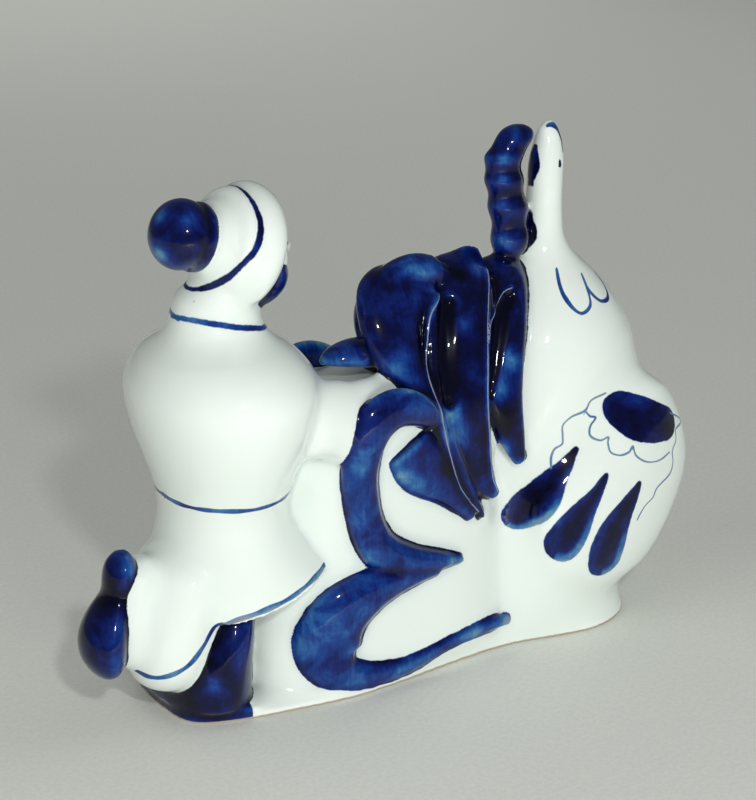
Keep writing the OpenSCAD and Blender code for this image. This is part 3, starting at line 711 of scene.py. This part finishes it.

# %% [markdown]
# Cobalt runs in the kiln: it thins on high places and gathers in low ones. The patches also hold
# painted light and shade: lighter patches on raised places such as the knobs of the comb, deep
# ones as painted shade in the hollows between the plumes. A patch is a place, a radius in
# millimetres and a change. Patches on the man's side of the group are on one side only.

# %% Patches of wash and painted light, of deep blue and painted shade
ONE_SIDED = -45
# lighter patches: thin washes, and painted light on raised places such as the comb's knobs
WASHES_AND_LIGHT = [(3.4, -6.6, 91.9, 4.4, -0.46), (-8, -14.2, 75, 4.0, -0.56), (3.4, -18.6, 62.2, 3.6, -0.66),
          (5.8, -19.2, 57, 3.4, -0.5), (-6, -21, 46.5, 5.0, -0.3), (28.6, -3, 104.9, 1.8, -0.4),
          (28, -3, 111.4, 1.8, -0.4), (28.4, -3, 115.8, 1.8, -0.4), (10.5, -13.7, 81.6, 2.8, -0.36),
          (19.3, -6.3, 91.9, 2.6, -0.46), (22.8, -15.7, 71.5, 3.0, -0.44), (18.9, -16.9, 65, 2.4, -0.36),
          (19, -16.1, 50.9, 2.6, -0.6), (29.1, -2.9, 96.3, 2.6, -0.4), (-23, -21.6, 56, 3.4, -0.2),
          (-11.3, -21, 51.4, 3.6, -0.34), (11.2, -19.4, 44.5, 2.8, -0.3), (-20.5, -21.6, 33.5, 2.6, -0.3),
          (-34.4, -20.4, 14, 4.4, -0.24), (-29, -22, 21, 4.0, -0.16), (-24, -22, 8, 3.6, -0.14),
          (-16.9, -4.5, 79, 2.4, -0.16), (-57, -9, 115, 2.0, -0.36), (-60.5, -3.8, 115.5, 2.4, -0.5),
          (-61.4, -5.4, 108, 2.8, -0.64), (-72.6, -10, 38.5, 2.6, -0.4), (-78, -14, 19.4, 2.6, -0.3),
          (-58.4, -18.4, 11, 2.2, -0.4), (8.8, -20.5, 6.5, 3.4, -0.16)]
# deep patches: gathered cobalt, and painted shade in the hollows between plumes and lobes
DEEPS_AND_SHADE = [(-14, -22, 68, 4.6, 0.2), (-4, -21.6, 62, 3.6, 0.3), (6.5, -12.3, 83.1, 3.6, 0.4),
         (4.7, -15.1, 77, 4.2, 0.44), (3.9, -17.2, 69.8, 4.0, 0.44), (25, -11, 83.5, 3.4, 0.4),
         (20.5, -13, 78.5, 3.4, 0.44), (17.9, -14.9, 72.2, 2.8, 0.4), (19.2, -18.4, 58.3, 3.2, 0.34),
         (14.2, -6.4, 91, 2.4, 0.4), (-12, -14, 79.3, 2.2, 0.3), (-9.7, -15, 70.6, 2.4, 0.34),
         (-4.8, -17, 66.7, 2.6, 0.34), (-1.7, -18.5, 62.4, 2.2, 0.3), (1.4, -21, 50.4, 2.4, 0.3),
         (12.5, -19, 38, 3.0, 0.2), (-77.5, -6, 33.6, 2.8, 0.5), (24.5, -17, 49, 2.6, 0.3),
         (-8, -20, 31, 3.0, 0.26), (-55, -9, 110, 4.0, 0.24)]
for patch in WASHES_AND_LIGHT + DEEPS_AND_SHADE:
    tint(*patch, sides=(-1,) if patch[0] < ONE_SIDED else (-1, 1))
print("paint is ready")

# %% [markdown]
# ## 6. The glazed finish
# The real material is a hard white porcelain body under clear glaze, with cobalt oxide between
# them. The glaze is glass, so it gives small sharp highlights over a soft white that has almost
# no sheen of its own. Cobalt is nearly black where it lies thick, and a greyish blue in a wash.
# Only the rim of the foot is bare of glaze, and there the body is matt and slightly brown.

# %% Small helpers for materials
def sheen(value):
    """One sRGB channel from 0 to 1 as linear light."""
    return value / 12.92 if value <= 0.04045 else ((value + 0.055) / 1.055) ** 2.4


def colour(hex_code):
    """A hex colour as linear red, green, blue and alpha."""
    return tuple(sheen(int(hex_code[i:i + 2], 16) / 255) for i in (1, 3, 5)) + (1.0,)


def add(tree, kind, inputs=None, **settings):
    """Adds a node, sets its properties, and gives or links its inputs."""
    node = tree.nodes.new(kind)
    for setting, value in settings.items():
        setattr(node, setting, value)
    for socket, value in (inputs or {}).items():
        if isinstance(value, bpy.types.NodeSocket):
            tree.links.new(value, node.inputs[socket])
        else:
            node.inputs[socket].default_value = value
    return node


def new_material(name):
    """An empty node material with its shader and output."""
    material = bpy.data.materials.new(name)
    material.use_nodes = True
    tree = material.node_tree
    tree.nodes.clear()
    shader = add(tree, "ShaderNodeBsdfPrincipled")
    add(tree, "ShaderNodeOutputMaterial", {"Surface": shader.outputs[0]})
    return material, tree, shader


def ramp(tree, value, stops, blend="EASE"):
    """A colour ramp over a value."""
    node = add(tree, "ShaderNodeValToRGB", {0: value})
    node.color_ramp.interpolation = blend
    elements = node.color_ramp.elements
    while len(elements) < len(stops):
        elements.new(0.5)
    for element, (position, code) in zip(elements, stops):
        element.position = position
        element.color = colour(code)
    return node.outputs[0]


# %% Nodes of the glazed porcelain
glazed, nodes, shader = new_material("underglaze_cobalt_porcelain")
spot = add(nodes, "ShaderNodeTexCoord").outputs["Object"]


def painted(name):
    """The three numbers stored at the points under a name."""
    stored = add(nodes, "ShaderNodeAttribute", attribute_name=name).outputs["Vector"]
    return add(nodes, "ShaderNodeSeparateXYZ", {0: stored}).outputs


def noise(coordinates, per_metre, detail=3.0, rough=0.55, warp=0.0):
    """A cloud pattern around zero with a given number of cells in a metre."""
    cloud = add(nodes, "ShaderNodeTexNoise", {"Vector": coordinates, "Scale": per_metre, "Detail": detail,
                                              "Roughness": rough, "Distortion": warp})
    return maths("SUBTRACT", cloud.outputs[0], 0.5)


def maths(kind, first, second=0.0):
    """One arithmetic node."""
    return add(nodes, "ShaderNodeMath", {0: first, 1: second}, operation=kind).outputs[0]


def span(value, low, high, to_low=0.0, to_high=1.0):
    """A value spread from one range to another, smooth at its ends."""
    return add(nodes, "ShaderNodeMapRange",
               {"Value": value, "From Min": low, "From Max": high, "To Min": to_low,
                                             "To Max": to_high},
               interpolation_type="SMOOTHSTEP").outputs[0]


def mixed(share, first, second):
    """A colour between two colours."""
    return add(nodes, "ShaderNodeMix", {0: share, 6: first, 7: second}, data_type="RGBA").outputs[2]


# %% [markdown]
# Patterns are given as cells per metre of the figurine. The edges of the paint wander by about a
# tenth of a millimetre, its clouds are about 7 mm wide, and the streaks follow the brush.

# %% How much cobalt lies at each place
CLOUDS, EDGE_WANDER, GRAIN = 140, 700, 900
PAINT_EDGE, LINE_EDGE = (-0.12, 0.2), (-0.1, 0.14)
ALONG_BRUSH, ACROSS_BRUSH = 0.12, 1.3
paint, thin = painted("paint"), painted("liner")
wander = maths("MULTIPLY", noise(spot, EDGE_WANDER), 0.5)
cover = span(maths("ADD", paint["X"], wander), *PAINT_EDGE)
line_depth = maths("SUBTRACT", thin["Y"],
                   maths("ABSOLUTE", maths("ADD", thin["X"], maths("MULTIPLY", wander, 0.3))))
line_cover = span(line_depth, *LINE_EDGE)
amount = add(nodes, "ShaderNodeMix", {0: line_cover, 2: paint["Y"], 3: thin["Z"]}).outputs[0]
clouds = maths("MULTIPLY", noise(spot, CLOUDS, 4, 0.58, 0.5), 0.9)
grain = maths("MULTIPLY", noise(spot, GRAIN, 2), 0.12)
brushed = add(nodes, "ShaderNodeAttribute", attribute_name="brush").outputs["Vector"]
strokes = add(nodes, "ShaderNodeMapping", {"Vector": brushed,
                                           "Scale": (ALONG_BRUSH, ACROSS_BRUSH, 1.0)}).outputs[0]
streaks = maths("MULTIPLY", noise(strokes, 1.0, 2), 0.18)
# in hollows the cobalt goes darker and on ridges lighter: partly glaze pooling, partly painted shade and
# light
pooling_and_shade = maths("MULTIPLY", paint["Z"], 0.5)
strength = maths("ADD", maths("ADD", amount, clouds), maths("ADD", maths("ADD", streaks, grain), pooling_and_shade))
# %% Colours under the glaze
SPECKS = 75
FOOT_RIM = (0.0007, 0.0004)
cobalt = ramp(nodes, strength,
              [(0.0, "#86879A"), (0.12, "#5C88A2"), (0.3, "#2A5E97"), (0.45, "#143A80"), (0.6, "#0A1E62"),
                                (0.78, "#050B3A"), (1.0, "#020318")], "LINEAR")
# the white goes grey in hollows and brighter on ridges: partly pooled glaze, partly painted shade and light
glaze_depth_and_shade = maths("ADD", maths("MULTIPLY", paint["Z"], 0.5), 0.5)
body = ramp(nodes, glaze_depth_and_shade,
            [(0.0, "#F1F6EE"), (0.5, "#E9F1E8"), (0.75, "#D6E0DA"), (1.0, "#AEBCBD")])
specks = add(nodes, "ShaderNodeTexVoronoi", {"Vector": spot, "Scale": SPECKS})
iron = maths("MULTIPLY", span(specks.outputs["Distance"], 0.03, 0.018),
             span(add(nodes, "ShaderNodeSeparateColor", {0: specks.outputs["Color"]}).outputs[0], 0.8,
                  0.82))
body = mixed(maths("MULTIPLY", iron, 0.35), body, colour("#6E6248"))
halo = maths("MULTIPLY", span(paint["X"], -1.2, 0.0), 0.16)
body = mixed(halo, body, colour("#A9C4DC"))
covered = maths("MAXIMUM", cover, line_cover)
surface = mixed(covered, body, cobalt)
height = add(nodes, "ShaderNodeSeparateXYZ", {0: spot}).outputs["Z"]
bare = span(maths("ADD", height, maths("MULTIPLY", noise(spot, 60), 0.0005)), *FOOT_RIM)
surface = mixed(bare, surface, colour("#B5AA95"))

# %% The glaze itself
GLAZED, UNGLAZED = 0.28, 0.75
GLAZE_IOR, GLAZE_ROUGHNESS, BODY_SHINE = 1.35, 0.03, 0.05
nodes.links.new(surface, shader.inputs["Base Color"])
nodes.links.new(span(bare, 0, 1, GLAZED, UNGLAZED), shader.inputs["Roughness"])
nodes.links.new(span(bare, 0, 1, 1.0, 0.0), shader.inputs["Coat Weight"])
shader.inputs["Specular IOR Level"].default_value = BODY_SHINE
shader.inputs["Coat Roughness"].default_value = GLAZE_ROUGHNESS
shader.inputs["Coat IOR"].default_value = GLAZE_IOR
# the fired surface rolls by a fraction of a millimetre over about 6 mm
wave = add(nodes, "ShaderNodeTexNoise", {"Vector": spot, "Scale": 170, "Detail": 2.0})
bump = add(nodes, "ShaderNodeBump", {"Height": wave.outputs[0], "Strength": 0.2, "Distance": 0.0005})
nodes.links.new(bump.outputs[0], shader.inputs["Normal"])
nodes.links.new(bump.outputs[0], shader.inputs["Coat Normal"])
print("materials:", [m.name for m in bpy.data.materials])

# %% [markdown]
# ## 7. Cutting the skin back into its pieces
# The paint goes along as values at the points. Each face takes the piece of its first corner, and
# the skin is parted there, so neighbours meet in one line under the glaze.

# %% Store the paint and split
MARGIN = 0.02
place = np.clip(place, np.array(cad_box[0]) / MM + MARGIN,
                np.array(cad_box[1]) / MM - MARGIN).astype(np.float32)
fused.vertices.foreach_set("co", place.ravel())
fused.transform(Matrix.Scale(MM, 4))
STORED = {"paint": np.stack([edge, load, hollow], 1),
          "brush": np.column_stack([brush, np.zeros(len(place))]),
          "liner": liner, "glaze_normal": outward}
for label, values in STORED.items():
    layer = fused.attributes.new(label, "FLOAT_VECTOR", "POINT")
    layer.data.foreach_set("vector", values.astype(np.float32).ravel())
corner_owner = np.empty(len(fused.loops), np.int64)
fused.loops.foreach_get("vertex_index", corner_owner)
loop_start = np.empty(len(fused.polygons), np.int64)
fused.polygons.foreach_get("loop_start", loop_start)
face_owner = owner[corner_owner[loop_start]]
fused.materials.clear()
for name in PIECES:
    fused.materials.append(glazed)
fused.polygons.foreach_set("material_index", face_owner.astype(np.int32))
fused.attributes.new("piece", "INT", "FACE").data.foreach_set("value", face_owner.astype(np.int32))
whole_skin = bpy.data.objects.new("skin", fused)
scene.collection.objects.link(whole_skin)
bpy.context.view_layer.objects.active = whole_skin
whole_skin.select_set(True)
bpy.ops.object.mode_set(mode="EDIT")
bpy.ops.mesh.select_all(action="SELECT")
bpy.ops.mesh.separate(type="MATERIAL")
bpy.ops.object.mode_set(mode="OBJECT")
parts = [o for o in scene.objects if o.name.startswith("skin")]
print("cut into", len(parts))

# %% [markdown]
# Each piece gets an inner side, a wall's thickness in, and its rim closes the two. The shading
# normals come from the whole skin, so the glaze runs over the cuts without a step.

# %% Close each piece and set it on its node
WALL = 0.8
SAME_WAY = 0.3
for part in parts:
    name = PIECES[part.data.attributes["piece"].data[0].value]
    part.data.attributes.remove(part.data.attributes["piece"])
    part.data.materials.clear()
    part.data.materials.append(glazed)
    part.name = part.data.name = name + "_porcelain"
    closing = bmesh.new()
    closing.from_mesh(part.data)
    for face in closing.faces:
        face.smooth = True
        face.material_index = 0
    inside_faces, inside_verts = list(closing.faces), list(closing.verts)
    bmesh.ops.extrude_face_region(closing, geom=inside_faces, use_keep_orig=True)
    direction = closing.verts.layers.float_vector["glaze_normal"]
    for vert in inside_verts:
        vert.co -= vert[direction] * (WALL * MM)
    bmesh.ops.reverse_faces(closing, faces=inside_faces)
    closing.to_mesh(part.data)
    closing.free()
    normal = np.empty(len(part.data.vertices) * 3, np.float32)
    part.data.attributes["glaze_normal"].data.foreach_get("vector", normal)
    normal = normal.reshape(-1, 3)
    corners = np.empty(len(part.data.loops), np.int64)
    part.data.loops.foreach_get("vertex_index", corners)
    first = np.empty(len(part.data.polygons), np.int64)
    count = np.empty(len(part.data.polygons), np.int64)
    part.data.polygons.foreach_get("loop_start", first)
    part.data.polygons.foreach_get("loop_total", count)
    flat = np.empty(len(part.data.polygons) * 3, np.float32)
    part.data.polygons.foreach_get("normal", flat)
    corner_normals = normal[corners]
    face_normals = np.repeat(flat.reshape(-1, 3), count, axis=0)
    agree = (corner_normals * face_normals).sum(1)
    corner_normals[agree < -SAME_WAY] *= -1
    flat_corners = abs(agree) <= SAME_WAY
    corner_normals[flat_corners] = face_normals[flat_corners]
    part.data.normals_split_custom_set(corner_normals.tolist())
    part.data.attributes.remove(part.data.attributes["glaze_normal"])
    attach(part, "root")
    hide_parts(name)
print("pieces:", len(parts))

# %% [markdown]
# ## 8. Floor and light
# The floor is matt off-white paper, with a fibre grain of about a millimetre. One small flash from
# the front gives the highlights. Wide panels at the sides, low in front, above and behind only
# fill the shadows: they are kept out of the reflections, where they would show as squares.

# %% Floor
FLOOR_HALF, FIBRES, PAPER_ROUGHNESS = 1.5, 900.0, 0.8
ground = bmesh.new()
bmesh.ops.create_grid(ground, x_segments=2, y_segments=2, size=FLOOR_HALF)
floor_mesh = bpy.data.meshes.new("floor")
ground.to_mesh(floor_mesh)
ground.free()
floor = bpy.data.objects.new("floor", floor_mesh)
scene.collection.objects.link(floor)
paper, paper_nodes, paper_shader = new_material("matt_paper")
on_paper = add(paper_nodes, "ShaderNodeTexCoord").outputs["Object"]
fibre = add(paper_nodes, "ShaderNodeTexNoise", {"Vector": on_paper, "Scale": FIBRES})
tone = ramp(paper_nodes, fibre.outputs[0], [(0.3, "#E4E6DE"), (0.7, "#EAECE4")])
paper_nodes.links.new(tone, paper_shader.inputs["Base Color"])
paper_shader.inputs["Roughness"].default_value = PAPER_ROUGHNESS
floor_mesh.materials.append(paper)
print("floor laid:", floor.name)


# %% Light
def panel(name, spot, size, watts, tint="#FFFFFF"):
    """A square soft light at a place, turned to the figurine."""
    lamp = bpy.data.lights.new(name, "AREA")
    lamp.size = size
    lamp.energy = watts
    lamp.color = colour(tint)[:3]
    light = bpy.data.objects.new(name, lamp)
    scene.collection.objects.link(light)
    light.location = spot
    light.rotation_euler = (Vector(spot) - CAMERA_AIM).to_track_quat("Z", "Y").to_euler()
    return light


ROOM_LIGHT = 0.14
panel("flash", (-0.19, -0.46, 0.36), 0.035, 0.82)
for shade in (panel("window", (0.9, -0.1, 0.5), 0.8, 1.5, "#F4FAFF"),
              panel("wall", (-0.9, -0.1, 0.5), 0.8, 2.4),
              panel("table_glow", (-0.12, -0.45, 0.05), 0.2, 1.45),
              panel("ceiling", (0.0, -0.1, 1.2), 1.2, 1.3),
              panel("back", (0.3, 0.9, 0.5), 0.8, 1.8)):
    shade.visible_glossy = False
    shade.visible_camera = False
world = bpy.data.worlds.new("room")
world.use_nodes = True
world.node_tree.nodes["Background"].inputs["Color"].default_value = colour("#DCE0DC")
world.node_tree.nodes["Background"].inputs["Strength"].default_value = ROOM_LIGHT
scene.world = world
